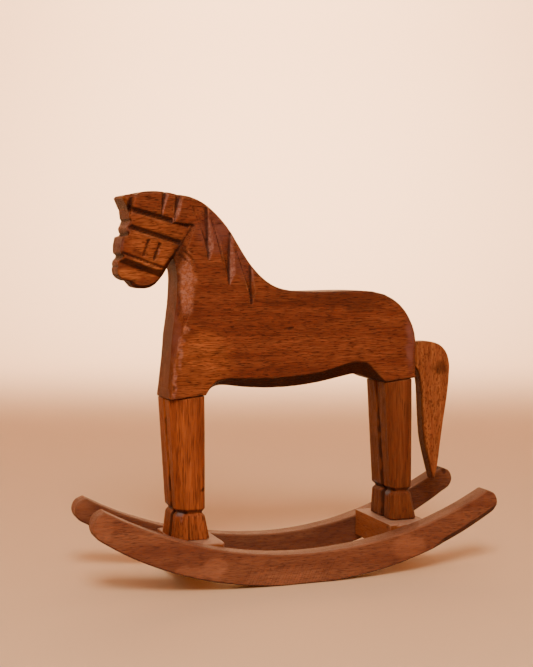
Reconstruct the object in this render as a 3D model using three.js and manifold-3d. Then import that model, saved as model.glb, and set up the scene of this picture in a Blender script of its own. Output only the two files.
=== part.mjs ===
// Carved wooden rocking horse on two arched rockers.
// Millimetres, +Z up. The horse faces -X, and the middle of its thickness is the plane Y = 0.
// The rockers stand on the plane Z = 0.
import * as THREE from 'three';
import { mergeVertices } from 'three/addons/utils/BufferGeometryUtils.js';
import Module from 'manifold-3d';

const wasm = await Module();
wasm.setup();

// Driving dimensions
const glueGap = 0.3;

const rocker = {
  length: 255,
  thickness: 12.7,
  spacing: 66,
  restFlat: 30,
  endLength: 7,
  edgeBreak: 0.7,
  tailBevelHeight: 3.6,
  tailBevelDepth: 1.8,
  tailBevelLength: 44,
  farShift: 3.2,
};

// The two rockers differ: how far the tips rise over the middle, and how late each line curls up.
const nearArc = {
  middleDepth: 18.2,
  bottomFront: { rise: 37.7, curl: 0.2 },
  bottomRear: { rise: 36.8, curl: 0.1 },
  topFront: { rise: 36.8, curl: 0.05 },
  topRear: { rise: 34.2, curl: 0.13 },
};
const farArc = {
  middleDepth: 16.3,
  bottomFront: { rise: 35.7, curl: 0.2 },
  bottomRear: { rise: 41.4, curl: 0.08 },
  topFront: { rise: 34.5, curl: 0.12 },
  topRear: { rise: 39.8, curl: 0 },
};

const crossbarEdgeBreak = 0.4;
const frontCrossbar = { top: 25.7, depth: 15, frontMargin: 0, rearMargin: 5.5 };
const rearCrossbar = { top: 28.3, depth: 16.7, frontMargin: 5.8, rearMargin: 4 };
const undersideInset = 0.5;

const body = {
  thickness: 31,
  jointBreak: 0.4,
  backRound: 2.4,
  rumpRound: 3.4,
  chestCutDepth: 5,
  chestCutWidth: 9,
  bellyBevelDepth: 6.5,
};

const head = { rearThickness: 30.2, taper: 0.2, chinBevel: 3.6, edgeBreak: 1 };

const foreleg = {
  height: 83,
  front: -76,
  rear: -54.6,
  lean: 5,
  width: 30.4,
  hoofWidth: 32,
  hoofHeight: 13.6,
  hoofFlareFront: 2.4,
  hoofFlareRear: 2.6,
  cornerLongTop: 8.2,
  cornerLongFoot: 3.8,
  cornerAcross: 4.2,
  farCorner: 2,
  rearCorner: 2,
};

const hindleg = {
  front: 62,
  rear: 80.6,
  lean: 5.2,
  width: 30.4,
  hoofWidth: 32,
  hoofHeight: 15.7,
  hoofFlareFront: 1.6,
  hoofFlareRear: 2.8,
  cornerLongTop: 1.4,
  cornerLongFoot: 1.8,
  cornerAcross: 2,
  farCorner: 1,
  rearCorner: 2,
};

const legGroove = { depth: 3.2, halfWidth: 2, drift: 3 };
const fetlock = { depth: 1.7, halfHeight: 2.2, frontShare: 1.2, sideShare: 0.6 };

const tail = { thickness: 9, edgeBreak: 0.9, reach: 28.1, drop: 88.8, topHeight: 30.2 };

const pollNotch = { front: -78.4, rear: -70.6, frontTop: 120.7, rearTop: 119.5, width: 3.4, depth: 0.7 };

const halfBody = body.thickness / 2;
const frontJointTop = frontCrossbar.top + glueGap + foreleg.height;

// Where the trunk stands on the leg blocks. The rises are counted from the front of the fore joint.
const foreJoint = { front: foreleg.front - 0.2, rear: foreleg.rear + 0.4, frontRise: 0, rearRise: 2.2 };
const hindJoint = { front: hindleg.front - 0.4, rear: hindleg.rear + 2.2, frontRise: 6, rearRise: 8.3 };
const rumpFace = hindleg.rear + 2.6;

// Gives a closed outline point its place and the bevel that the edge has there.
function edgePoint(x, z, inset, depth, round) {
  return { x, z, inset, depth, round };
}

// Runs a smooth curve through points that also carry a bevel width.
function smoothEdge(points, steps, depth, round) {
  const curve = new THREE.CatmullRomCurve3(points.map(([x, z, inset]) => new THREE.Vector3(x, z, inset)));
  curve.curveType = 'centripetal';
  return curve.getPoints(steps).map((p) => edgePoint(p.x, p.y, p.z, depth, round));
}

// Straight corners, each with the same bevel.
function cornerEdge(points, inset, depth) {
  return points.map(([x, z]) => edgePoint(x, z, inset, depth, false));
}

// A board sawn to an outline seen from the side, each edge bevelled or rounded on both faces.
// The outline runs anticlockwise with x to the right and z up.
function board(outline, halfAt, centreY = 0, edgeSteps = 1) {
  const count = outline.length;
  const half = typeof halfAt === 'function' ? halfAt : () => halfAt;
  const inward = outline.map((point, i) => {
    const before = outline[(i + count - 1) % count];
    const after = outline[(i + 1) % count];
    const run = new THREE.Vector2(after.x - before.x, after.z - before.z).normalize();
    return new THREE.Vector2(-run.y, run.x);
  });
  const ring = (side, t) => outline.map((point, i) => {
    const share = point.round ? 1 - Math.sin(t * Math.PI / 2) : 1 - t;
    const sink = point.round ? 1 - Math.cos(t * Math.PI / 2) : t;
    const x = point.x + inward[i].x * point.inset * share;
    const z = point.z + inward[i].y * point.inset * share;
    return [x, centreY + side * (half(x, z) - point.depth * sink), z];
  });
  const rings = [];
  for (let k = 0; k <= edgeSteps; k += 1) rings.push(ring(-1, k / edgeSteps));
  for (let k = edgeSteps; k >= 0; k -= 1) rings.push(ring(1, k / edgeSteps));
  const faces = sideFaces(rings.length, count);
  for (let k = 0; k < faces.length; k += 3) [faces[k + 1], faces[k + 2]] = [faces[k + 2], faces[k + 1]];
  addCaps(faces, rings, count, (p) => new THREE.Vector2(p[0], p[2]));
  return closedGeometry(rings.flat(2), faces);
}

// Joins each ring of a stack to the next, all round.
function sideFaces(ringCount, count) {
  const faces = [];
  for (let j = 0; j < ringCount - 1; j += 1) {
    for (let i = 0; i < count; i += 1) {
      const a = j * count + i;
      const b = j * count + (i + 1) % count;
      faces.push(a, b, b + count, a, b + count, a + count);
    }
  }
  return faces;
}

// Closes the first and last ring of a stack with flat faces.
function addCaps(faces, rings, count, flatten) {
  const last = (rings.length - 1) * count;
  for (const [a, b, c] of capTriangles(rings[0].map(flatten))) faces.push(a, b, c);
  for (const [a, b, c] of capTriangles(rings.at(-1).map(flatten))) faces.push(last + a, last + c, last + b);
}

// Anticlockwise triangles that fill a flat outline.
function capTriangles(outline) {
  return THREE.ShapeUtils.triangulateShape(outline, []).map((corners) => {
    const area = THREE.ShapeUtils.area(corners.map((k) => outline[k]));
    return area < 0 ? [...corners].reverse() : corners;
  });
}

function closedGeometry(positions, faces) {
  const geometry = new THREE.BufferGeometry();
  geometry.setAttribute('position', new THREE.Float32BufferAttribute(positions, 3));
  geometry.setIndex(faces);
  return geometry;
}

// Booleans
function solidOf(geometry) {
  const merged = mergeVertices(geometry, 1e-4);
  const position = merged.getAttribute('position').array;
  const index = Array.from(merged.getIndex().array);
  if (signedVolume(position, index) < 0) index.reverse();
  const mesh = { numProp: 3, vertProperties: new Float32Array(position), triVerts: new Uint32Array(index) };
  return new wasm.Manifold(new wasm.Mesh(mesh));
}

function signedVolume(position, index) {
  const corner = (k) => new THREE.Vector3().fromArray(position, index[k] * 3);
  let sum = 0;
  for (let k = 0; k < index.length; k += 3) sum += corner(k).dot(corner(k + 1).cross(corner(k + 2)));
  return sum;
}

function geometryOf(solid) {
  const mesh = solid.getMesh();
  const geometry = closedGeometry(Array.from(mesh.vertProperties), Array.from(mesh.triVerts));
  geometry.computeVertexNormals();
  return geometry;
}

// A knife cut into one flank, as a V that follows a path. Each station gives the place of the
// deepest line, the width of the wall on its front or lower side (low) and on its rear or upper
// side (high), and the depth. side is -1 for the near flank and 1 for the far one.
function knifeCut(stations, side, half) {
  const clear = 3;
  const count = stations.length;
  const rings = stations.map((station, k) => {
    const before = stations[Math.max(k - 1, 0)];
    const after = stations[Math.min(k + 1, count - 1)];
    const run = new THREE.Vector2(after.x - before.x, after.z - before.z).normalize();
    const place = (across, lift) => {
      const x = station.x - run.y * across;
      const z = station.z + run.x * across;
      return [x, side * (half(x, z) + lift), z];
    };
    return [
      place(0, -station.depth), place(station.high, 0), place(station.high, clear),
      place(-station.low, clear), place(-station.low, 0),
    ];
  });
  const corners = rings[0].length;
  const faces = sideFaces(count, corners);
  const last = (count - 1) * corners;
  for (let i = 1; i < corners - 1; i += 1) faces.push(0, i + 1, i, last, last + i, last + i + 1);
  return solidOf(closedGeometry(rings.flat(2), faces));
}

function station(x, z, low, high, depth) {
  return { x, z, low, high, depth };
}

function cutBothFlanks(solid, cuts, half) {
  let result = solid;
  for (const stations of cuts) {
    for (const side of [-1, 1]) result = result.subtract(knifeCut(stations, side, half));
  }
  return result;
}

// A V sawn straight across the top edge.
function crossCut(x, z) {
  const above = 3;
  const { width, depth } = pollNotch;
  const outline = cornerEdge([[x, z - depth], [x + width / 2, z + above], [x - width / 2, z + above]], 0, 0);
  return solidOf(board(outline, body.thickness));
}

// Carved body: trunk and neck. Heights are given from the top of the forelegs.
function trunkOutline() {
  const atHeight = (points) => points.map(([x, z, ...rest]) => [x, z + frontJointTop, ...rest]);
  const joint = (points) => cornerEdge(atHeight(points), body.jointBreak, body.jointBreak);
  const chest = body.chestCutWidth;
  const overForelegs = joint([[foreJoint.front, foreJoint.frontRise], [foreJoint.rear, foreJoint.rearRise]]);
  const belly = smoothEdge(atHeight([
    [-51.5, 4.1, 1.6], [-47.2, 6.9, 3.4], [-42, 7.4, 4.4], [-29, 5.8, 5.6], [-10, 4.7, 6.6], [7, 5.4, 7],
    [22.7, 7.6, 7], [33, 9.7, 7.8], [42.5, 11.3, 8.4], [47.5, 10.6, 8], [52.5, 8.6, 5.5], [58, 6.9, 2.2],
  ]), 30, body.bellyBevelDepth, false);
  const overHindlegs = joint([[hindJoint.front, hindJoint.frontRise], [hindJoint.rear, hindJoint.rearRise]]);
  const rump = smoothEdge(atHeight([
    [rumpFace - 0.1, 10.5, 3.6], [rumpFace, 22, 3.8], [rumpFace, 31, 3.8],
    [rumpFace - 1.2, 38, 3.8], [rumpFace - 3.6, 44, 3.6], [rumpFace - 7.4, 50.2, 3.4],
    [rumpFace - 13.5, 56.2, 3.2], [rumpFace - 21.2, 60.4, 2.8],
  ]), 20, body.rumpRound, true);
  const back = smoothEdge(atHeight([
    [rumpFace - 30.2, 62.4, 2.4], [43, 62.8, 2.4], [29, 62.7, 2.4], [11, 62.6, 2.4], [-4, 64, 2.4], [-12.5, 67, 2.4],
    [-20, 72.6, 2.2], [-27, 80.4, 2], [-33, 89.6, 1.8], [-39.1, 99.2, 1.6], [-46.4, 107.8, 1.6],
    [-53.4, 113.8, 1.6], [-58.4, 116.7, 1.6], [-64, 118.7, 1.6], [-70, 119.6, 1.2],
  ]), 44, body.backRound, true);
  const behindPoll = joint([[-71.2, 119.3], [-73.4, 106], [-74, 103.4]]);
  const underHead = atHeight([
    [-65.6, 101.6, 2.5], [-71.4, 92.4, 6], [-73.6, 86, 9.5],
  ]).map(([x, z, inset]) => edgePoint(x, z, inset, body.chestCutDepth, false));
  const breast = smoothEdge(atHeight([
    [-71.6, 80, 10], [-70.4, 74, chest], [-70.2, 68, chest], [-70.9, 57.2, chest],
    [-72.4, 45.6, 0.66 * chest], [-73.7, 36, 0.44 * chest], [-74.3, 28, 0.24 * chest],
    [-75.2, 18, 0.14 * chest], [-76.1, 7, 0.1 * chest],
  ]), 18, body.chestCutDepth, false);
  return [
    ...overForelegs, ...belly, ...overHindlegs, ...rump, ...back, ...behindPoll, ...underHead, ...breast,
  ];
}

// The head narrows from the poll to the muzzle.
const poll = { x: -75, z: 116, nose: new THREE.Vector2(-0.5, -0.866) };

function halfHead(x, z) {
  const along = (x - poll.x) * poll.nose.x + (z - frontJointTop - poll.z) * poll.nose.y;
  return (head.rearThickness - head.taper * along) / 2;
}

function headOutline() {
  const raised = (points) => points.map(([x, z]) => [x, z + frontJointTop]);
  const at = (points, inset, depth) => cornerEdge(raised(points), inset, depth);
  const breakBy = head.edgeBreak;
  const chin = at([
    [-77.8, 73.2], [-80.2, 70], [-82.6, 67.4], [-85.4, 65.7], [-88.6, 65], [-92.4, 65.1], [-95.4, 65.9],
    [-96.8, 67.6],
  ], head.chinBevel, head.chinBevel);
  const mouth = at([[-98, 69.4], [-100.2, 69.6]], 2.4, 2.4);
  const lip = at([[-103.2, 71.2], [-104.9, 73.4], [-105.4, 77], [-104.7, 81.2]], breakBy, breakBy);
  const noseband = at([[-102.7, 82.6], [-103, 84], [-104, 86.4]], breakBy, breakBy);
  const nose = at([[-103.8, 90.6], [-102.8, 95], [-100.4, 96.6], [-99.9, 97.6]], breakBy, breakBy);
  const brow = at([[-100.6, 100.4], [-99, 102.6], [-99.2, 107], [-99.9, 111]], breakBy, breakBy);
  const forelock = at([[-102.2, 115.6], [-103, 117.6], [-101.8, 119], [-97.2, 119.9]], 1.6, 2.6);
  const crown = at([
    [-95, 119], [-92.8, 120.8], [-89, 121.4], [-83, 121.5], [-77, 120.9], [-70, 119.5],
  ], 1.4, 1.4);
  const underNeck = at([[-62, 112], [-59.5, 104]], breakBy, breakBy);
  const jaw = at([[-62.5, 101.4], [-69.2, 90.4]], 0.5, 0.5);
  const face = [...chin, ...mouth, ...lip, ...noseband, ...nose, ...brow, ...forelock];
  return [...face, ...crown, ...underNeck, ...jaw].reverse();
}

function bridleCuts() {
  const z = frontJointTop;
  const browGroove = [station(-100, z + 110.6, 1, 2.4, 2), station(-62.4, z + 100.6, 0.9, 2.2, 2)];
  const cheekGroove = [station(-103.4, z + 101.6, 0.9, 2.4, 1.7), station(-69, z + 91, 0.9, 2.2, 1.6)];
  const noseGroove = [station(-107, z + 87.2, 0.5, 1.1, 1.1), station(-76.6, z + 76, 0.5, 1.1, 1.1)];
  const muzzleStep = [station(-110, z + 82.6, 22, 3.4, 2.5), station(-78, z + 71, 22, 3.4, 2.5)];
  return [browGroove, cheekGroove, noseGroove, muzzleStep];
}

function cheekCuts() {
  const z = frontJointTop;
  const frontCut = [station(-87.8, z + 93.8, 0.6, 1.4, 1), station(-90.6, z + 85, 0.5, 1.6, 1.1),
    station(-91, z + 83.6, 0.1, 0.1, 0.05)];
  const rearCut = [station(-81.2, z + 91.4, 0.8, 1.4, 1.2), station(-84.2, z + 83, 0.8, 1.8, 1.5),
    station(-84.9, z + 81, 0.1, 0.1, 0.05)];
  return [frontCut, rearCut];
}

function pollCuts() {
  const z = frontJointTop;
  return [
    [station(-78.6, z + 124, 2, 3, 2.8), station(-80.8, z + 110, 1, 2.6, 1.4),
      station(-81.7, z + 106.8, 0.1, 0.1, 0.05)],
    [station(-70.4, z + 123, 2, 3, 2.8), station(-72.9, z + 108, 1.2, 2.8, 1.6),
      station(-74.2, z + 103.6, 0.1, 0.1, 0.05)],
  ];
}

function maneCuts() {
  const z = frontJointTop;
  return [
    [station(-54.4, z + 116, 9.6, 1, 1.2), station(-53.7, z + 101, 3.6, 1.8, 1.8),
      station(-53, z + 88.4, 0.9, 3.6, 2.6), station(-52.4, z + 82, 0.1, 0.3, 0.05)],
    [station(-39.2, z + 103, 11, 1, 1.2), station(-39.8, z + 89, 5, 2.4, 2),
      station(-40.1, z + 73.6, 0.9, 3.8, 2.8), station(-40.2, z + 67.4, 0.1, 0.3, 0.05)],
    [station(-27, z + 83, 8, 0.8, 1), station(-26.8, z + 72, 3.6, 1.6, 1.6),
      station(-26.5, z + 61.5, 0.8, 2.8, 2), station(-26.2, z + 56, 0.1, 0.2, 0.05)],
  ];
}

function jawCut() {
  const z = frontJointTop;
  return [
    station(-62, z + 102, 3, 1.6, 1.2), station(-70, z + 89, 4, 4.5, 3.4), station(-79.5, z + 72, 5, 6, 4.6),
  ];
}

function carvedBody() {
  const halfNeck = () => halfBody;
  const neckAndTrunk = solidOf(board(trunkOutline(), halfBody, 0, 3));
  let solid = cutBothFlanks(neckAndTrunk, [jawCut()], halfNeck);
  let headSolid = solidOf(board(headOutline(), halfHead));
  headSolid = cutBothFlanks(headSolid, [...bridleCuts(), ...cheekCuts()], halfHead);
  solid = solid.add(headSolid);
  solid = cutBothFlanks(solid, [...pollCuts(), ...maneCuts()], halfNeck);
  solid = solid.subtract(crossCut(pollNotch.front, frontJointTop + pollNotch.frontTop));
  return geometryOf(solid.subtract(crossCut(pollNotch.rear, frontJointTop + pollNotch.rearTop)));
}

// Legs: one block for each pair, turned into two legs by a groove down its front and back.
function legSection(leg, lift, height) {
  const share = lift / height;
  const hoof = leg.hoofHeight;
  const inHoof = Math.max(0, 1 - lift / hoof);
  const nick = Math.max(0, 1 - Math.abs(lift - hoof - fetlock.halfHeight) / fetlock.halfHeight);
  const cut = fetlock.depth * nick;
  const lean = leg.lean * (1 - share);
  const front = leg.front + lean - leg.hoofFlareFront * inHoof + cut * fetlock.frontShare;
  const rear = leg.rear + leg.hoofFlareRear * inHoof - cut;
  const half = (leg.width + (leg.hoofWidth - leg.width) * inHoof) / 2 - cut * fetlock.sideShare;
  const cornerLong = leg.cornerLongFoot + (leg.cornerLongTop - leg.cornerLongFoot) * share;
  return { front, rear, half, cornerLong, middle: -legGroove.drift * (1 - share) };
}

function legRing(leg, section, z) {
  const { front, rear, half, cornerLong, middle } = section;
  const open = legGroove.halfWidth;
  return [
    [front + cornerLong, -half], [rear - leg.rearCorner, -half], [rear, -half + leg.rearCorner],
    [rear, middle - open], [rear - legGroove.depth, middle], [rear, middle + open],
    [rear, half - leg.rearCorner], [rear - leg.rearCorner, half], [front + leg.farCorner, half],
    [front, half - leg.farCorner], [front, middle + open], [front + legGroove.depth, middle],
    [front, middle - open], [front, -half + leg.cornerAcross],
  ].map(([x, y]) => [x, y, z(x)]);
}

// The top of a leg block follows the slope of the joint under the body.
function legPair(leg, bottom, topAt) {
  const middleX = (leg.front + leg.rear) / 2;
  const height = topAt(middleX) - bottom;
  const hoof = leg.hoofHeight;
  const lifts = [0, hoof * 0.5, hoof, hoof + fetlock.halfHeight, hoof + 2 * fetlock.halfHeight];
  const shankSteps = 5;
  const shankStart = lifts.at(-1);
  for (let k = 1; k <= shankSteps; k += 1) lifts.push(shankStart + (height - shankStart) * k / shankSteps);
  const rings = lifts.map((lift) => {
    const atTop = lift === lifts.at(-1);
    return legRing(leg, legSection(leg, lift, height), (x) => (atTop ? topAt(x) : bottom + lift));
  });
  const count = rings[0].length;
  const faces = sideFaces(rings.length, count);
  const reversed = [];
  addCaps(reversed, rings, count, (p) => new THREE.Vector2(p[0], p[1]));
  for (let k = 0; k < reversed.length; k += 3) faces.push(reversed[k], reversed[k + 2], reversed[k + 1]);
  return closedGeometry(rings.flat(2), faces);
}

// The sloping top of a leg block, a glue line below the trunk.
function topUnder(joint) {
  const slope = (joint.rearRise - joint.frontRise) / (joint.rear - joint.front);
  return (x) => frontJointTop - glueGap + joint.frontRise + slope * (x - joint.front);
}

// Tail: a flat curved club that meets the rump with its upper front edge. Its outline is given in
// shares of its reach behind the rump and of its drop from top to tip, and insets in shares of the
// edge break.
function tailGeometry() {
  const root = rumpFace + glueGap;
  const top = frontJointTop + tail.topHeight;
  const rootBreak = 0.3;
  const at = ([reach, drop, inset]) => [
    root + reach * tail.reach, top - drop * tail.drop, inset * tail.edgeBreak,
  ];
  const outline = [
    ...cornerEdge([at([0, 0.149, 0]), at([0, 0.007, 0])], rootBreak, rootBreak),
    ...smoothEdge([
      [0.338, 0, 1], [0.569, 0.007, 1], [0.779, 0.034, 1], [0.929, 0.086, 1], [1, 0.155, 1],
      [1, 0.239, 1], [0.957, 0.378, 1], [0.865, 0.565, 1], [0.786, 0.734, 1], [0.715, 0.903, 0.9],
      [0.658, 0.986, 0.55],
    ].map(at), 22, tail.edgeBreak, true),
    ...smoothEdge([
      [0.609, 1, 0.33], [0.53, 0.914, 0.67], [0.424, 0.785, 0.9], [0.359, 0.689, 0.9],
      [0.31, 0.498, 0.9], [0.267, 0.295, 0.9], [0.196, 0.216, 0.9], [0.103, 0.171, 0.67],
    ].map(at), 16, tail.edgeBreak, false),
  ];
  return board(outline.reverse(), tail.thickness / 2, 0, 2);
}

// Rockers
const halfLength = rocker.length / 2;

function lineHeight(x, line) {
  const u = x / halfLength;
  return line.rise * ((1 - line.curl) * u * u + line.curl * u ** 4);
}

// The arc under the rocker, with a short flat in the middle that it rests on.
function rockerBottom(x, arc) {
  const line = x < 0 ? arc.bottomFront : arc.bottomRear;
  return Math.max(0, lineHeight(x, line) - lineHeight(rocker.restFlat / 2, line));
}

function rockerTop(x, arc) {
  return arc.middleDepth + lineHeight(x, x < 0 ? arc.topFront : arc.topRear);
}

// outerSide is -1 on the near rocker and 1 on the far one.
function rockerGeometry(outerSide, arc) {
  const steps = 48;
  const shoulder = halfLength - rocker.endLength;
  const breakBy = rocker.edgeBreak;
  const stops = Array.from({ length: steps + 1 }, (_, k) => shoulder * (2 * k / steps - 1));
  const outline = stops.map((x) => edgePoint(x, rockerBottom(x, arc), breakBy, breakBy, false));
  outline.push(...rockerEnd(1, shoulder, arc));
  outline.push(...stops.reverse().map((x) => edgePoint(x, rockerTop(x, arc), breakBy, breakBy, false)));
  outline.push(...rockerEnd(-1, -shoulder, arc).reverse());
  const plain = solidOf(board(outline, rocker.thickness / 2, outerSide * rocker.spacing / 2));
  return geometryOf(plain.subtract(tailBevelCut(outerSide, arc)));
}

// The rounded end of a rocker, from its lower shoulder to its upper one.
function rockerEnd(direction, shoulder, arc) {
  const low = rockerBottom(shoulder, arc);
  const high = rockerTop(shoulder, arc);
  const at = (reach, rise) => {
    return new THREE.Vector3(shoulder + direction * reach * rocker.endLength, low + rise * (high - low), 0);
  };
  const curve = new THREE.CatmullRomCurve3([at(0, 0), at(0.72, 0.2), at(1, 0.5), at(0.72, 0.84), at(0, 1)]);
  const inner = curve.getPoints(10).slice(1, -1);
  return inner.map((p) => edgePoint(p.x, p.y, rocker.edgeBreak, rocker.edgeBreak, false));
}

// The long flat bevel that was pared off the outer lower edge towards the rear tip.
function tailBevelCut(side, arc) {
  const start = halfLength - rocker.tailBevelLength;
  const outerFace = side * (rocker.spacing + rocker.thickness) / 2;
  const reach = 12;
  const steps = 8;
  const slopePastTip = 1.2;
  const startShare = 0.3;
  const rings = [];
  for (let k = 0; k <= steps; k += 1) {
    const x = start + (rocker.tailBevelLength + reach) * k / steps;
    const z = rockerBottom(Math.min(x, halfLength), arc) + Math.max(0, x - halfLength) * slopePastTip;
    const grown = Math.min(1, startShare + k);
    const up = rocker.tailBevelHeight * grown;
    const deep = rocker.tailBevelDepth * grown;
    const steepness = up / deep;
    rings.push([
      [x, outerFace + side * reach, z + up + reach * steepness],
      [x, outerFace - side * (deep + reach), z - reach * steepness],
      [x, outerFace + side * reach, z - reach * steepness],
    ]);
  }
  const corners = rings[0].length;
  const faces = sideFaces(rings.length, corners);
  const last = steps * corners;
  faces.push(0, 2, 1, last, last + 1, last + 2);
  return solidOf(closedGeometry(rings.flat(2), faces));
}

// Crossbars fit between the rockers under the hooves.
function crossbarGeometry(leg, bar) {
  const length = rocker.spacing - rocker.thickness - 2 * glueGap;
  const hoofFront = leg.front + leg.lean - leg.hoofFlareFront;
  const hoofRear = leg.rear + leg.hoofFlareRear;
  const front = hoofFront - bar.frontMargin;
  const rear = hoofRear + bar.rearMargin;
  const arcsAt = (x) => Math.max(rockerBottom(x, nearArc), rockerBottom(x - rocker.farShift, farArc));
  const underside = (x) => Math.max(bar.top - bar.depth, arcsAt(x) + undersideInset);
  const outline = cornerEdge([
    [front, underside(front)], [rear, underside(rear)], [rear, bar.top], [front, bar.top],
  ], crossbarEdgeBreak, crossbarEdgeBreak);
  return board(outline, length / 2);
}

// Finishes
function wood(color, roughness) {
  return new THREE.MeshStandardMaterial({ color, roughness, metalness: 0 });
}

const bodyWood = wood(0x8c4628, 0.45);
const legWood = wood(0x9c5230, 0.5);
const tailWood = wood(0xa66038, 0.55);
const rockerWood = wood(0x86462e, 0.6);
const barWood = wood(0xb08060, 0.65);

function piece(name, geometry, material) {
  const mesh = new THREE.Mesh(geometry, material);
  mesh.name = name;
  return mesh;
}

// The far rocker sits a little further back than the near one.
const farRocker = piece('far_rocker', rockerGeometry(1, farArc), rockerWood);
farRocker.position.x = rocker.farShift;

// The origin is half way between the front tip of the near rocker and the rear tip of the far one.
const rockingHorse = new THREE.Group();
rockingHorse.position.x = -rocker.farShift / 2;
rockingHorse.add(
  piece('carved_body', carvedBody(), bodyWood),
  piece('foreleg_pair', legPair(foreleg, frontCrossbar.top + glueGap, topUnder(foreJoint)), legWood),
  piece('hindleg_pair', legPair(hindleg, rearCrossbar.top + glueGap, topUnder(hindJoint)), legWood),
  piece('tail', tailGeometry(), tailWood),
  piece('near_rocker', rockerGeometry(-1, nearArc), rockerWood),
  farRocker,
  piece('front_crossbar', crossbarGeometry(foreleg, frontCrossbar), barWood),
  piece('rear_crossbar', crossbarGeometry(hindleg, rearCrossbar), barWood),
);

export default rockingHorse;
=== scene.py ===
# Carved wooden rocking horse: waxed mahogany with knife work, on sawn rockers.
# Sizes in the dictionaries are millimetres unless a note says otherwise.
import math

import bmesh
import bpy
import numpy as np
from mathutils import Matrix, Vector


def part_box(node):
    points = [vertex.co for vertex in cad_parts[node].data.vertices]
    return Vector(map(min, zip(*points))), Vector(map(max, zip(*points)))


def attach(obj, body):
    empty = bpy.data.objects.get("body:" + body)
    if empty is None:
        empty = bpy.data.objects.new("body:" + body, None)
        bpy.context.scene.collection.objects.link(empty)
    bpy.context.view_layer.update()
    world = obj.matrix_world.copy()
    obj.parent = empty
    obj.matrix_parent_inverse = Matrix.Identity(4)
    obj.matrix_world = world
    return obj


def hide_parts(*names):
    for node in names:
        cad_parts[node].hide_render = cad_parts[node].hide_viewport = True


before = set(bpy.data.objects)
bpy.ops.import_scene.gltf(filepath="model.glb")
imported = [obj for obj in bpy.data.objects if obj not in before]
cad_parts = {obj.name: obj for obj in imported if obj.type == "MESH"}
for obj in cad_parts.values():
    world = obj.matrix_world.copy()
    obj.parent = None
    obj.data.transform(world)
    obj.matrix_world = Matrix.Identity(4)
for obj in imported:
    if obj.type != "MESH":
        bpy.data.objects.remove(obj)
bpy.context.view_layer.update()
mm = 0.001


# Camera
view = {
    "azimuth": -19.91,  # degrees round from straight on
    "elevation": 3.63,
    "distance": 788.0,
    "aimX": -12.7,
    "aimZ": 145.9,
    "focalPixels": 1296.0,
    "pictureHeight": 667.0,  # pixels
    "sensor": 36.0,
    "nearest": 10.0,
}


def placeCamera():
    turn = math.radians(view["azimuth"])
    tilt = math.radians(view["elevation"])
    back = Vector((math.sin(turn) * math.cos(tilt), -math.cos(turn) * math.cos(tilt), math.sin(tilt)))
    lens = bpy.data.cameras.new("camera")
    lens.sensor_fit = "VERTICAL"
    lens.sensor_height = view["sensor"]
    lens.lens = view["focalPixels"] * view["sensor"] / view["pictureHeight"]
    lens.clip_start = view["nearest"] * mm
    camera = bpy.data.objects.new("camera", lens)
    bpy.context.collection.objects.link(camera)
    aim = Vector((view["aimX"], 0, view["aimZ"])) * mm
    camera.location = aim + back * view["distance"] * mm
    camera.rotation_euler = (-back).to_track_quat("-Z", "Y").to_euler()
    bpy.context.scene.camera = camera


# Tools for nodes and noise
def linear(hexColour):
    channels = [int(hexColour[k:k + 2], 16) / 255 for k in (1, 3, 5)]
    return tuple(c / 12.92 if c <= 0.04045 else ((c + 0.055) / 1.055) ** 2.4 for c in channels) + (1.0,)


def addNode(tree, kind, settings=None, links=None):
    # settings go to the node's own options or, by name or number, to its sockets
    node = tree.nodes.new(kind)
    for key, value in (settings or {}).items():
        if isinstance(key, str) and hasattr(node, key):
            setattr(node, key, value)
        else:
            node.inputs[key].default_value = value
    for key, socket in (links or {}).items():
        tree.links.new(socket, node.inputs[key])
    return node


def ramp(values, low, high):
    t = np.clip((values - low) / (high - low), 0, 1)
    return t * t * (3 - 2 * t)


def softNoise(points, cell, seed):
    # a smooth random field from -1 to 1 with lumps of the size of cell, which repeats after size of them
    size = 32
    lattice = np.random.default_rng(seed).uniform(-1, 1, (size, size, size))
    spot = points / np.asarray(cell, float)
    corner = np.floor(spot).astype(int)
    share = spot - corner
    share = share * share * (3 - 2 * share)
    total = np.zeros(len(points))
    for step in np.ndindex(2, 2, 2):
        weight = np.prod(np.abs(1 - np.array(step) - share), axis=1)
        i, j, k = ((corner + step) % size).T
        total += weight * lattice[i, j, k]
    return total


# Tools for fine meshes. A pair in craft is where an effect starts and where it is full.
craft = {
    "weld": 0.002,
    "closeRounds": 3,  # smoothing rounds that give a point's near surroundings, and its wide ones
    "wideRounds": 16,
    "arrisRounds": 2,
    "arrisBulge": (0.05, 0.22),  # height over the near surroundings
    "nickNoise": (0.2, 0.6),
    "dentRim": 0.45,  # share of a dent's radius where its slope starts
    "cutFacing": (0.3, 0.6),  # cosine to the way that a cut is seen from
    "arrisMask": (0.04, 0.18),
    "creaseMask": (0.03, 0.14),
    "wideShadeAndGrimeMask": (0.08, 0.4),
    "underMask": (0.1, 0.55),  # cosine to straight down
    "patchFacing": (0.15, 0.5),
    "patchWobble": 1.6,  # how far, and in lumps of what size, the rim of a patch strays
    "wobbleCell": 4,
}


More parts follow.
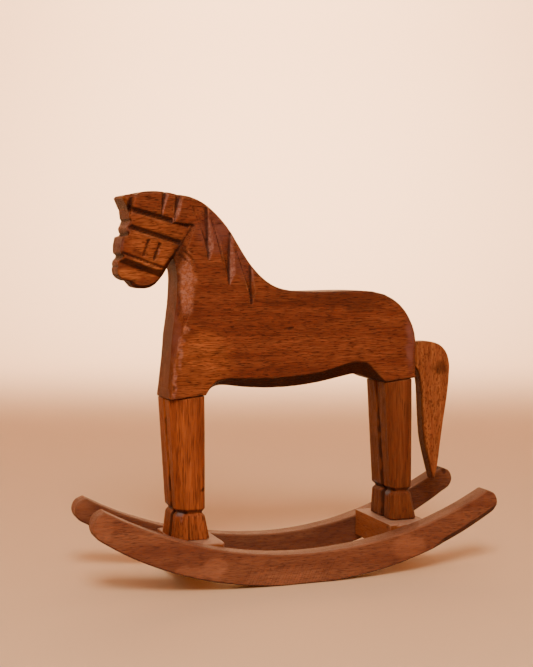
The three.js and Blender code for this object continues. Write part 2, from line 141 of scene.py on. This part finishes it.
def evenlyMeshed(name, node, voxel):
    # an even fine mesh laid back on the solid, so that its arrises stay crisp
    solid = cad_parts[node]
    closed = bmesh.new()
    closed.from_mesh(solid.data)
    bmesh.ops.remove_doubles(closed, verts=closed.verts, dist=craft["weld"] * mm)
    mesh = bpy.data.meshes.new(name)
    closed.to_mesh(mesh)
    closed.free()
    piece = bpy.data.objects.new(name, mesh)
    bpy.context.collection.objects.link(piece)
    even = piece.modifiers.new("even", "REMESH")
    even.mode = "VOXEL"
    even.voxel_size = voxel * mm
    wrap = piece.modifiers.new("wrap", "SHRINKWRAP")
    wrap.target = solid
    wrap.wrap_method = "NEAREST_SURFACEPOINT"
    made = piece.evaluated_get(bpy.context.evaluated_depsgraph_get())
    piece.data = bpy.data.meshes.new_from_object(made)
    piece.modifiers.clear()
    piece.data.materials.clear()
    return piece


def meshArray(collection, field, width):
    values = np.empty(len(collection) * width, np.float32 if width == 3 else np.int32)
    collection.foreach_get(field, values)
    return values.reshape(-1, width)


def movePoints(mesh, points):
    mesh.vertices.foreach_set("co", (points * mm).astype(np.float32).ravel())
    mesh.update()
    return meshArray(mesh.vertex_normals, "vector", 3).astype(float)


def relaxed(points, edges, rounds):
    count = np.bincount(edges.ravel(), minlength=len(points))
    for _ in range(rounds):
        pull = np.zeros_like(points)
        for end in (0, 1):
            for axis in range(3):
                pull[:, axis] += np.bincount(edges[:, end], points[edges[:, 1 - end], axis], len(points))
        points = 0.5 * points + 0.5 * pull / count[:, None]
    return points


def bulgeOf(points, normals, edges, rounds):
    # how far each point stands out of its surroundings
    return np.einsum("ij,ij->i", points - relaxed(points, edges, rounds), normals)


def blob(points, centre, radii, rim):
    # 1 inside a rounded patch, fading to 0 from rim, a share of its radius, outwards
    return 1 - ramp(np.linalg.norm((points - np.array(centre)) / np.array(radii), axis=1), rim, 1)


def groove(points, normals, axes, start, end, halfWidth, reach):
    # a V along a line, cut in the faces that look along the axis left out: 1 on the line, 0 at its rims
    depthAxis = 3 - sum(axes)
    start, run = np.array(start), np.array(end) - np.array(start)
    flat = points[:, axes] - start
    share = np.clip(flat @ run / (run @ run), 0, 1)
    away = np.linalg.norm(flat - share[:, None] * run, axis=1)
    within = (points[:, depthAxis] > reach[0]) & (points[:, depthAxis] < reach[1])
    facing = ramp(np.abs(normals[:, depthAxis]), *craft["cutFacing"])
    return np.clip(1 - away / halfWidth, 0, 1) * facing * within


# Layers that a material reads: edges, painted shade and grime in grooves, nicks, cut wood and painted light
# on cut walls, lighter wood and painted light on lit faces, greyish film and painted sheen, dirt and painted
# shade, and painted shade on faces that look down.
maskNames = ("arris", "hollowShadeAndGrime", "worn", "freshCutAndLit", "paleAndLit", "filmAndSheen", "dirtAndShade", "under")


def carve(name, node, hand):
    # rounds the arrises, cuts the tool marks and notes where wear and dirt sit and where light and shade are
    # painted
    piece = evenlyMeshed(name, node, hand["voxel"])
    mesh = piece.data
    points = meshArray(mesh.vertices, "co", 3).astype(float) / mm
    edges = meshArray(mesh.edges, "vertices", 2)
    normals = movePoints(mesh, points)
    arris = ramp(bulgeOf(points, normals, edges, craft["closeRounds"]), *craft["arrisBulge"])
    nicks = ramp(softNoise(points, hand["nickCell"], hand["seed"]), *craft["nickNoise"]) * arris
    sink = hand["nickDepth"] * nicks
    for cell, depth, seed in hand["waves"]:
        sink += depth * np.abs(softNoise(points, cell, seed))  # hollows of the tool with ridges between
    for centre, radii, depth in hand["dents"]:
        sink += depth * blob(points, centre, radii, craft["dentRim"])
    for axes, start, end, halfWidth, depth, reach in hand["cuts"]:
        sink += depth * groove(points, normals, axes, start, end, halfWidth, reach)
    low, high = (np.array(corner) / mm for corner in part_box(node))
    softened = relaxed(points, edges, craft["arrisRounds"])
    points += (hand["arrisRounding"] * arris)[:, None] * (softened - points)
    points = np.clip(points - normals * sink[:, None], low, high)
    normals = movePoints(mesh, points)

    masks = dict.fromkeys(maskNames, np.zeros(len(points)))
    close = bulgeOf(points, normals, edges, craft["closeRounds"])
    wide = bulgeOf(points, normals, edges, craft["wideRounds"])
    masks["arris"] = ramp(close, *craft["arrisMask"])
    # painted shade in creases, and painted shade with grime in wide hollows
    masks["hollowShadeAndGrime"] = np.maximum(ramp(-close, *craft["creaseMask"]),
                                 hand["wideShadeAndGrime"] * ramp(-wide, *craft["wideShadeAndGrimeMask"]))
    masks["worn"] = nicks
    # painted shade: faces that look down are darkened
    masks["under"] = ramp(-normals[:, 2], *craft["underMask"])
    wobble = [softNoise(points, craft["wobbleCell"], hand["seed"] + k) for k in (1, 2, 3)]
    ragged = points + craft["patchWobble"] * np.column_stack(wobble)
    for mask, centre, radii, strength, facing in hand["patches"]:
        patch = strength * blob(ragged, centre, radii, hand["patchRim"])
        if facing:
            patch = patch * ramp(normals @ np.array(facing), *craft["patchFacing"])
        masks[mask] = np.maximum(masks[mask], patch)
    for mask, values in masks.items():
        layer = mesh.attributes.new(mask, "FLOAT", "POINT")
        layer.data.foreach_set("value", np.clip(values, 0, 1).astype(np.float32))
    mesh.polygons.foreach_set("use_smooth", [True] * len(mesh.polygons))
    return piece


# Wood
# Patterns, each as along the grain, across it, detail, and the noise values where it starts and is full.
# Real fibres are 0.1 to 0.2 mm wide and the pores 0.2 mm, too fine to show: both are drawn about 3 times
# as coarse.
mahogany = {
    "band": (90, 5, 3, 0.36, 0.64),
    "fibre": (10, 0.5, 2, 0.42, 0.64),
    "pore": (4.5, 0.5, 1, 0.56, 0.66),
    "cloud": (26, 14, 3, 0.4, 0.62),
    "speck": (2.6, 1.9, 3, 0.42, 0.6),
}
surface = {
    "patternStart": (3.1, 7.7, 1.3),  # the first is multiplied by the pattern's number, so that none line up
    "noiseRoughness": 0.6,
    "ior": 1.5,
    "waxRoughness": 0.3,
    "sheenRoughness": 0.4,
}


def woodMaterial(name, wood):
    material = bpy.data.materials.new(name)
    material.use_nodes = True
    tree = material.node_tree
    tree.nodes.clear()
    used = {"band", "fibre", *wood["relief"]}.union(*(layer[:2] for layer in wood["layers"]))
    place = addNode(tree, "ShaderNodeTexCoord").outputs["Object"]
    shown = {}
    for number, (pattern, (along, across, detail, start, full)) in enumerate(wood["patterns"].items()):
        if pattern not in used:
            continue
        scale = [1 / (across * mm)] * 3
        scale[wood["grainAxis"]] = 1 / (along * mm)
        offset = (number * surface["patternStart"][0], *surface["patternStart"][1:])
        mapping = addNode(tree, "ShaderNodeMapping",
                          {"Scale": scale, "Rotation": wood["grainTilt"], "Location": offset},
                          {"Vector": place})
        noise = addNode(tree, "ShaderNodeTexNoise",
                        {"Scale": 1.0, "Detail": detail, "Roughness": surface["noiseRoughness"]},
                        {"Vector": mapping.outputs["Vector"]})
        spread = addNode(tree, "ShaderNodeMapRange", {"From Min": start, "From Max": full},
                         {"Value": noise.outputs["Fac"]})
        shown[pattern] = spread.outputs["Result"]
    for mask in maskNames:
        if mask in used:
            shown[mask] = addNode(tree, "ShaderNodeAttribute", {"attribute_name": mask}).outputs["Fac"]

    colour = addNode(tree, "ShaderNodeMix",
                     {"data_type": "RGBA", 6: linear(wood["dark"]), 7: linear(wood["light"])},
                     {0: shown["band"]}).outputs[2]
    for source, breaker, share, tint in wood["layers"]:
        amount = addNode(tree, "ShaderNodeMath", {"operation": "MULTIPLY", 1: share}, {0: shown[source]})
        if breaker:
            amount = addNode(tree, "ShaderNodeMath", {"operation": "MULTIPLY"},
                             {0: amount.outputs[0], 1: shown[breaker]})
        colour = addNode(tree, "ShaderNodeMix", {"data_type": "RGBA", 7: linear(tint)},
                         {0: amount.outputs[0], 6: colour}).outputs[2]

    smooth, dull = wood["roughness"]
    rough = addNode(tree, "ShaderNodeMapRange", {"To Min": smooth, "To Max": dull}, {"Value": shown["fibre"]})
    height = None
    for source, share in wood["relief"].items():
        links = {0: shown[source]}
        if height:
            links[2] = height
        height = addNode(tree, "ShaderNodeMath", {"operation": "MULTIPLY_ADD", 1: share}, links).outputs[0]
    bump = addNode(tree, "ShaderNodeBump", {"Strength": 1.0, "Distance": wood["reliefDepth"] * mm},
                   {"Height": height})
    shader = addNode(tree, "ShaderNodeBsdfPrincipled",
                     {"IOR": surface["ior"], "Specular IOR Level": wood["shine"],
                      "Coat Weight": wood["wax"], "Coat Roughness": surface["waxRoughness"],
                      "Sheen Weight": wood["dustSheen"], "Sheen Roughness": surface["sheenRoughness"]},
                     {"Base Color": colour, "Roughness": rough.outputs["Result"],
                      "Normal": bump.outputs["Normal"]})
    addNode(tree, "ShaderNodeOutputMaterial", {}, {"Surface": shader.outputs["BSDF"]})
    return material


def makePiece(name, node, hand, wood):
    piece = carve(name, node, hand)
    piece.data.materials.append(woodMaterial(wood["name"], wood))
    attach(piece, "root")
    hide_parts(node)
    print(name, "carved and finished,", len(piece.data.polygons), "faces")


# Studio: a round pale paper bowl, a window above the viewer's left shoulder and a wash on the paper behind
studio = {
    "paper": "#f8cfa6",
    "paperRoughness": 0.95,
    "paperShine": 0.1,
    "flatRadius": 1500,
    "bend": 700,
    "bendSteps": 12,
    "rim": 1700,
    "hole": 0.001,  # the first ring, too small to show
    "segments": 64,
    "sky": "#f4e8de",
    "skyStrength": 0.38,
    "lights": {  # place in metres, size in metres, watts, colour, what it looks at
        "window": ((-0.36, -1.0, 1.0), 0.5, 14.5, "#fff1e2", (0, 0, 0.12)),
        "room": ((0.9, -1.1, 0.5), 0.8, 1.4, "#ffeedd", (0, 0, 0.12)),
        "wash": ((0.35, 0.9, 1.5), 0.9, 45.0, "#fff0e2", (0.75, 2.1, 0.35)),
    },
    "washSpread": 105,  # degrees, so that the wash stays on the paper behind the horse
}


def buildStudio():
    segments = studio["segments"]
    profile = [(studio["hole"], 0.0), (studio["flatRadius"], 0.0)]
    for k in range(1, studio["bendSteps"] + 1):
        angle = k / studio["bendSteps"] * math.pi / 2
        profile.append((studio["flatRadius"] + studio["bend"] * math.sin(angle),
                        studio["bend"] * (1 - math.cos(angle))))
    profile.append((studio["flatRadius"] + studio["bend"], studio["rim"]))
    corners = []
    for radius, height in profile:
        for k in range(segments):
            angle = 2 * math.pi * k / segments
            corners.append((radius * math.cos(angle) * mm, radius * math.sin(angle) * mm, height * mm))
    faces = []
    for ring in range(len(profile) - 1):
        for k in range(segments):
            this, after = ring * segments + k, ring * segments + (k + 1) % segments
            faces.append((this, this + segments, after + segments, after))
    sheet = bpy.data.meshes.new("paper")
    sheet.from_pydata(corners, [], faces)
    sheet.polygons.foreach_set("use_smooth", [True] * len(faces))
    floor = bpy.data.objects.new("paper", sheet)
    bpy.context.collection.objects.link(floor)
    paper = bpy.data.materials.new("matt_paper")
    paper.use_nodes = True
    shader = paper.node_tree.nodes["Principled BSDF"]
    shader.inputs["Base Color"].default_value = linear(studio["paper"])
    shader.inputs["Roughness"].default_value = studio["paperRoughness"]
    shader.inputs["Specular IOR Level"].default_value = studio["paperShine"]
    sheet.materials.append(paper)
    world = bpy.data.worlds.new("studio")
    bpy.context.scene.world = world
    world.use_nodes = True
    background = world.node_tree.nodes["Background"]
    background.inputs["Color"].default_value = linear(studio["sky"])
    background.inputs["Strength"].default_value = studio["skyStrength"]
    for name, (place, size, power, tint, aim) in studio["lights"].items():
        lamp = bpy.data.lights.new(name, "AREA")
        lamp.shape = "DISK"
        lamp.size = size
        lamp.energy = power
        lamp.color = linear(tint)[:3]
        if name == "wash":
            lamp.spread = math.radians(studio["washSpread"])
        light = bpy.data.objects.new(name, lamp)
        bpy.context.collection.objects.link(light)
        light.location = place
        light.rotation_euler = (Vector(aim) - Vector(place)).to_track_quat("-Z", "Y").to_euler()


placeCamera()
buildStudio()
print("camera and studio stand")

# A cut is drawn as seen from one way, and its reach is the depth range that it acts in.
side, front, top = (0, 2), (1, 2), (0, 1)
through, face, barTop = (-40, 40), (-112, -90), (24, 30)


# Body: one board, planed on the flanks, knife cut at head, mane and chest
bodyHand = {
    "voxel": 0.71,
    "wideShadeAndGrime": 0.4,  # how strongly the wide hollows are darkened, as painted shade and grime, 0 to 1
    "arrisRounding": 0.6,
    "nickCell": (5, 3, 5),
    "nickDepth": 0.3,
    "seed": 11,
    "waves": [((22, 9, 14), 0.14, 12), ((7, 6, 7), 0.08, 13)],  # size of the hollows, depth, seed
    "dents": [  # middle, radii, depth
        ((-66.7, -14, 178), (5, 6, 16), 0.25),
        ((-68, -14, 150), (2.2, 4, 3), 0.5),
        ((-7.8, -15.5, 163.1), (4, 2, 2.2), 0.25),
    ],
    "cuts": [  # plane, start, end, half width, depth, reach
        (side, (-55.5, 221), (-54.2, 191.5), 0.9, 0.9, through),
        (side, (-40.9, 206), (-41.6, 176.8), 0.9, 0.9, through),
        (side, (-28.3, 187), (-27.7, 165.2), 0.9, 0.8, through),
        (side, (-63.6, 221.4), (-55.8, 201.9), 0.8, 0.4, through),
        (side, (-52.2, 213.9), (-42.4, 181.3), 0.9, 0.6, through),
        (side, (-37.4, 195.9), (-29.1, 174.7), 0.8, 0.4, through),
        (side, (-80, 228.7), (-82.4, 216), 0.8, 0.6, through),
        (side, (-71.6, 227.7), (-75, 213.2), 0.8, 0.6, through),
        (side, (-90.4, 202.1), (-93, 193), 0.7, 0.22, through),
        (side, (-83.1, 200.1), (-86.7, 190.4), 0.7, 0.22, through),
        (side, (-99.6, 227), (-101.2, 218), 1.9, 1.7, through),
        (side, (-6.5, 149.5), (-1, 150.4), 0.7, 0.35, through),
        (side, (-70, 196.5), (-63.5, 191), 0.8, 0.35, through),
        (side, (-71, 193.5), (-64.5, 188), 0.8, 0.35, through),
        (side, (-69.5, 199.5), (-64, 195), 0.8, 0.3, through),
        (front, (-16, 213.4), (16, 213.4), 1.2, 0.9, face),
        (front, (-16, 205.6), (16, 205.6), 1.3, 1.2, face),
        (front, (-16, 193), (16, 193), 1.2, 1.0, face),
        (front, (-16, 187), (16, 187), 1.0, 0.7, face),
        (front, (-16, 200), (-6, 198.5), 0.8, 0.3, face),
    ],
    "patchRim": 0.5,
    "patches": [  # mask, middle, radii, strength, and the way it faces or None
        ("paleAndLit", (-67, -14, 178), (6, 8, 22), 0.7, None),
        ("freshCutAndLit", (-67, -14, 177), (5.5, 8, 21), 0.8, None),
        ("freshCutAndLit", (-67.3, -14, 150.6), (2.6, 4, 2.8), 1.0, None),
        ("paleAndLit", (-67.4, -14, 150.4), (2.6, 4, 2.4), 1.0, None),
        ("freshCutAndLit", (-71, -15, 137), (2.2, 3, 13), 0.6, None),
        ("freshCutAndLit", (-74.6, -15, 118), (1.7, 3, 16), 0.6, None),
        # on the mane, cheek and poll cuts: painted light on the walls that face the window, over fresh cut
        # wood
        ("freshCutAndLit", (-38, -13, 200), (28, 9, 34), 1.0, (-1, 0, 0)),
        ("freshCutAndLit", (-38, 13, 200), (28, 9, 34), 1.0, (-1, 0, 0)),
        ("freshCutAndLit", (-91, -15, 197), (1.1, 4, 5), 1.0, None),
        ("freshCutAndLit", (-84.2, -15, 195), (1.1, 4, 5), 1.0, None),
        ("freshCutAndLit", (-77, -13, 221), (9, 9, 14), 1.0, (-1, 0, 0)),
        ("freshCutAndLit", (-77, 13, 221), (9, 9, 14), 1.0, (-1, 0, 0)),
        ("filmAndSheen", (-49, 0, 209), (17, 40, 20), 0.9, None),
        ("filmAndSheen", (-30, 0, 190), (14, 40, 15), 0.8, None),
        # painted sheen on the rump's back chamfer and on faces that look forward
        ("filmAndSheen", (76.5, 0, 142), (4.5, 40, 30), 1.0, None),
        ("filmAndSheen", (-105, 0, 199.5), (9, 30, 7), 1.0, (-1, 0, 0)),
        ("filmAndSheen", (-101, 0, 209.5), (7, 30, 4.5), 0.7, (-1, 0, 0)),
        ("filmAndSheen", (-73, 0, 150), (3.5, 30, 60), 0.6, (-1, 0, 0)),
        # a paler muzzle and forelock, with painted highlights on both
        ("paleAndLit", (-96, -13, 182.5), (26, 8, 6.5), 1.0, None),
        ("paleAndLit", (-94, -14, 189.5), (20, 8, 3.5), 0.8, (0, -1, 0)),
        ("paleAndLit", (-106, -8, 222), (5.5, 12, 8), 1.0, None),
        # painted light on the shoulder
        ("paleAndLit", (-60, -15.5, 130), (26, 4, 26), 0.5, None),
        ("paleAndLit", (-86, -14, 200), (22, 6, 24), 0.45, (0, -1, 0)),
        # painted shadow under the jaw and down the neck front, and painted shade on the chest's front face
        ("dirtAndShade", (-72, 0, 196), (7, 30, 12), 0.8, None),
        ("dirtAndShade", (-71, -8, 178), (2.5, 9, 30), 0.6, None),
        ("dirtAndShade", (-75, 0, 150), (2.6, 14, 60), 0.35, (-1, 0, 0)),
        ("dirtAndShade", (-100.2, -11, 222), (2.6, 6, 7), 1.0, None),
        ("dirtAndShade", (44, -15.5, 163), (17, 4, 5), 0.4, None),
        ("dirtAndShade", (20, -15.5, 167), (60, 6, 6), 0.3, None),
        ("dirtAndShade", (-4, -15.5, 149.9), (4, 2, 0.9), 0.8, None),
    ],
}

# Mahogany board, planed and knife cut, stained and waxed: a satin red brown with dark short pores.
bodyWood = {
    "name": "waxed_mahogany",
    "patterns": mahogany,
    "grainAxis": 0,
    "grainTilt": (0, 0.03, 0),
    "dark": "#70371f",
    "light": "#884b2c",
    "layers": [  # where, broken up by, share, colour
        # besides the wood's own colours, these paint light on lit faces and cut walls, sheen on faces that
        # look forward, and shade in hollows, under the jaw, on the chest front and underneath
        ("paleAndLit", None, 0.75, "#bc7038"),
        ("fibre", None, 0.65, "#4c2212"),
        ("cloud", None, 0.35, "#5e2c18"),
        ("pore", None, 0.7, "#2a120a"),
        ("filmAndSheen", None, 0.5, "#5c302c"),
        ("filmAndSheen", "cloud", 0.45, "#885a50"),
        ("arris", None, 0.25, "#9a6040"),
        ("freshCutAndLit", None, 0.45, "#966050"),
        ("freshCutAndLit", "speck", 0.35, "#bd9484"),
        ("worn", None, 0.4, "#b08058"),
        ("dirtAndShade", None, 0.75, "#26120c"),
        ("hollowShadeAndGrime", None, 0.75, "#28110a"),
        ("under", None, 0.85, "#1c0a05"),
    ],
    "roughness": (0.42, 0.6),
    "relief": {"fibre": -0.5, "pore": -1.0},
    "reliefDepth": 0.2,
    "shine": 0.1,
    "wax": 0.02,
    "dustSheen": 0.0,
}

makePiece("horse_body", "carved_body", bodyHand, bodyWood)


# Legs: two blocks with upright grain, pared with a knife
foreHand = {
    "voxel": 0.5,
    "wideShadeAndGrime": 0.9,
    "arrisRounding": 0.6,
    "nickCell": (3, 3, 5),
    "nickDepth": 0.3,
    "seed": 21,
    "waves": [((5, 5, 40), 0.14, 22), ((2.4, 2.4, 14), 0.06, 23)],
    "dents": [((-57.6, -15, 55.2), (1.6, 3, 1.6), 0.5)],
    "cuts": [(side, (-66.9, 40), (-66.5, 26), 0.6, 0.7, through)],
    "patchRim": 0.5,
    "patches": [
        ("dirtAndShade", (-57.6, -15, 55.2), (1.9, 3, 1.9), 1.0, None),
        # painted shade in the gap between the two legs
        ("dirtAndShade", (-66, -1.5, 68), (30, 3, 100), 1.0, None),
        ("filmAndSheen", (-70.7, -10, 39.1), (3.2, 5, 3.4), 1.0, None),
        ("filmAndSheen", (-73, 8, 43.1), (3.2, 5, 3.4), 1.0, None),
    ],
}

# The same timber with its grain upright and less stain: more orange, with long dark streaks and blue-grey at
# the fetlock notches.
legWood = dict(
    bodyWood,
    name="pared_mahogany",
    patterns=dict(mahogany, band=(80, 4, 3, 0.38, 0.62), fibre=(18, 0.55, 3, 0.42, 0.64),
                  pore=(12, 0.55, 1, 0.56, 0.65)),
    grainAxis=2,
    grainTilt=(0, 0, 0),
    dark="#864523",
    light="#aa5f32",
    layers=[
        # besides the wood's own colours, these paint shade in hollows, between the legs, on the tail's front
        # edge and underneath
        ("fibre", None, 0.5, "#5c2c18"),
        ("cloud", None, 0.3, "#6e381f"),
        ("pore", None, 0.6, "#381a10"),
        ("arris", None, 0.2, "#b07044"),
        ("worn", None, 0.35, "#b88860"),
        ("hollowShadeAndGrime", None, 0.85, "#200e08"),
        ("filmAndSheen", None, 0.75, "#6c7078"),
        ("dirtAndShade", None, 0.75, "#26120c"),
        ("under", None, 0.8, "#1e0c06"),
    ],
)

makePiece("forelegs", "foreleg_pair", foreHand, legWood)

# The hind pair is the darker one, without knot or crack.
hindHand = dict(
    foreHand,
    seed=25,
    dents=[],
    cuts=[],
    waves=[((5, 5, 40), 0.14, 26), ((2.4, 2.4, 14), 0.06, 27)],
    patches=[
        # painted shade in the gap between the two legs
        ("dirtAndShade", (71, -1.5, 72), (30, 3, 100), 1.0, None),
        ("filmAndSheen", (65.3, 8, 48.6), (3, 4.5, 3.2), 0.9, None),
        ("filmAndSheen", (64.8, -8, 46.3), (3, 4.5, 3.2), 0.9, None),
    ],
)
hindWood = dict(legWood, name="dark_pared_mahogany", dark="#62331c", light="#7d482a")

makePiece("hind_legs", "hindleg_pair", hindHand, hindWood)


# Tail: a flat club sawn out and sanded
tailHand = {
    "voxel": 0.45,
    "wideShadeAndGrime": 0.5,
    "arrisRounding": 0.8,
    "nickCell": (3, 3, 5),
    "nickDepth": 0.25,
    "seed": 41,
    "waves": [((7, 5, 22), 0.15, 42)],
    "dents": [],
    "cuts": [],
    "patchRim": 0.45,
    "patches": [
        ("dirtAndShade", (103.8, -4.5, 122.2), (4.5, 2, 6), 0.75, None),
        # painted shade on the front edge that faces the body
        ("dirtAndShade", (86, 0, 92), (40, 30, 60), 0.7, (-1, 0, 0)),
    ],
}

# Sanded more and stained less: orange brown with small dark specks.
tailWood = dict(
    legWood,
    name="sanded_mahogany",
    patterns=dict(mahogany, band=(60, 5, 2, 0.38, 0.62), fibre=(5, 0.7, 3, 0.44, 0.64),
                  pore=(2.2, 0.7, 1, 0.56, 0.64)),
    dark="#884d2e",
    light="#a4663a",
)

makePiece("horse_tail", "tail", tailHand, tailWood)


# Rockers: sawn from board, edges broken, rubbed where it is held
nearHand = {
    "voxel": 0.57,
    "wideShadeAndGrime": 0.5,
    "arrisRounding": 0.7,
    "nickCell": (5, 3, 4),
    "nickDepth": 0.25,
    "seed": 51,
    "waves": [((24, 8, 9), 0.14, 52), ((6, 5, 5), 0.06, 53)],
    "dents": [],
    "cuts": [(side, (x, 0), (x + 5, 9 + x % 4), 0.7, 0.2, through) for x in range(-43, 13, 2)],
    "patchRim": 0.6,
    "patches": [
        ("paleAndLit", (-58.4, -39, 13.5), (9.5, 5, 7.5), 0.6, None),
        ("paleAndLit", (-71, -39, 12.5), (17, 5, 5), 0.45, None),
        ("paleAndLit", (65.5, -39, 17), (14, 5, 8.5), 0.7, None),
        ("paleAndLit", (-124, -36, 42), (10, 9, 10), 0.6, None),
        # painted light on the top faces
        ("paleAndLit", (0, -33, 20), (400, 60, 90), 0.6, (0, 0, 1)),
        ("paleAndLit", (-14, -39.3, 4), (32, 5, 8), 0.35, None),
        # painted shade on the faces that look down at the back end
        ("dirtAndShade", (104, -38, 26), (33, 9, 28), 0.7, (0.3, 0, -1.5)),
    ],
}

# Sawn board with thin dry wax: duller and pinker, rubbed pale in patches.
rockerWood = dict(
    bodyWood,
    name="sawn_mahogany",
    patterns=dict(mahogany, band=(120, 9, 3, 0.36, 0.64), fibre=(8, 0.55, 3, 0.44, 0.68)),
    grainTilt=(0, 0, 0),
    dark="#74432e",
    light="#88573c",
    layers=[
        # besides the wood's own colours, these paint light on the top faces and shade in hollows, on the far
        # inner face and underneath
        ("fibre", None, 0.5, "#542c20"),
        ("cloud", None, 0.35, "#643828"),
        ("pore", None, 0.5, "#3c2016"),
        ("paleAndLit", "band", 0.3, "#b48064"),
        ("paleAndLit", None, 0.35, "#aa6c48"),
        ("arris", None, 0.35, "#a87454"),
        ("worn", None, 0.4, "#b89070"),
        ("hollowShadeAndGrime", None, 0.6, "#2a1008"),
        ("dirtAndShade", None, 0.75, "#33160c"),
        ("under", None, 0.7, "#260f06"),
    ],
    roughness=(0.55, 0.72),
    shine=0.18,
    wax=0.0,
    dustSheen=0.02,
)

makePiece("rocker_near", "near_rocker", nearHand, rockerWood)

# The far one shows its inner face, darkened with painted shade, and darkest behind.
farHand = dict(
    nearHand,
    seed=55,
    cuts=[],
    waves=[((24, 8, 9), 0.14, 56), ((6, 5, 5), 0.06, 57)],
    patches=[
        ("paleAndLit", (-122, 33, 42), (10, 9, 10), 0.7, None),
        # painted light on the top faces and painted shade over the inner face
        ("paleAndLit", (0, 33, 20), (400, 60, 90), 0.6, (0, 0, 1)),
        ("dirtAndShade", (0, 26, 20), (400, 60, 90), 0.25, (0, -1, 0)),
        ("dirtAndShade", (108, 30, 36), (34, 12, 22), 0.6, (0, -1, 0)),
        ("dirtAndShade", (122, 30, 50), (3.5, 6, 2.5), 1.0, None),
    ],
)

makePiece("rocker_far", "far_rocker", farHand, rockerWood)


# Crossbars: short offcuts, barely waxed
barHand = dict(
    nearHand,
    voxel=0.6,
    seed=61,
    waves=[((6, 12, 6), 0.12, 62)],
    cuts=[],
    patches=[
        ("paleAndLit", (0, 0, 26), (400, 200, 60), 0.9, (0, 0, 1)),
        # a dark glue line and painted shade round the hooves
        ("dirtAndShade", (-65, 0, 27), (8.5, 15, 3), 0.8, None),
        ("dirtAndShade", (71, 0, 29.5), (9, 15, 3), 0.8, None),
    ],
)

# Bare sawn offcuts of a paler board: orange brown, and a chalky pink on the faces that look up.
barWood = dict(
    rockerWood,
    name="bare_offcut",
    grainAxis=1,
    dark="#864a26",
    light="#9c5c34",
    layers=[
        # besides the wood's own colours, these paint shade in hollows, round the hooves and underneath
        ("fibre", None, 0.4, "#6a3418"),
        ("cloud", None, 0.3, "#7a4022"),
        ("pore", None, 0.5, "#4a2412"),
        ("paleAndLit", None, 0.6, "#c49a80"),
        ("arris", None, 0.3, "#c89878"),
        ("dirtAndShade", None, 0.6, "#3a1c10"),
        ("hollowShadeAndGrime", None, 0.6, "#2a1008"),
        ("under", None, 0.5, "#260e06"),
    ],
)

makePiece("bar_front", "front_crossbar", barHand, barWood)

# A split runs along the near end of the rear one.
rearBarHand = dict(barHand, seed=65, cuts=[(top, (63.5, -26.4), (77, -24.6), 0.6, 0.8, barTop)])

makePiece("bar_rear", "rear_crossbar", rearBarHand, barWood)
